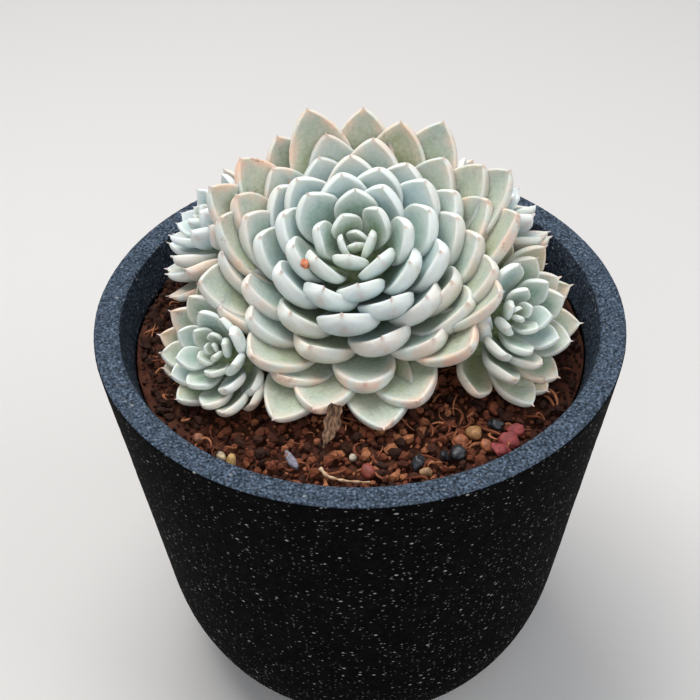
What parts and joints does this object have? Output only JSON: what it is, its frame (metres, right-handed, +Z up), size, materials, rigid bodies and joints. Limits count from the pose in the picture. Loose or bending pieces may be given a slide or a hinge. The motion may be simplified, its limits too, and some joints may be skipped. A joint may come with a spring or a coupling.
{
  "type": "potted mexican snowball",
  "caption": "Clump of pale blue-green succulent rosettes growing in granular soil in a round tapered speckled black planter.",
  "frame": {"origin": "centre of the underside of the pot's foot, on the surface that it stands on", "axes": "+Z up; -Y is the front, towards which the large rosette leans; +X is to the right seen from the front"},
  "size_m": [0.15, 0.15, 0.1756],
  "materials": {
    "pot": "rough black stoneware with pale flecks",
    "soil": "loose reddish brown granules",
    "leaf": "waxy leaf with a pale bloom",
    "young_leaf": "waxy leaf with a pale bloom",
    "blue_leaf": "waxy leaf with a bluish bloom"
  },
  "bodies": {
    "root": {"pot": "pot", "soil": "soil", "rosette_main": "leaf", "rosette_front_left": "young_leaf", "rosette_right": "young_leaf", "rosette_back_left": "blue_leaf", "rosette_back_right": "blue_leaf"}
  },
  "joints": []
}
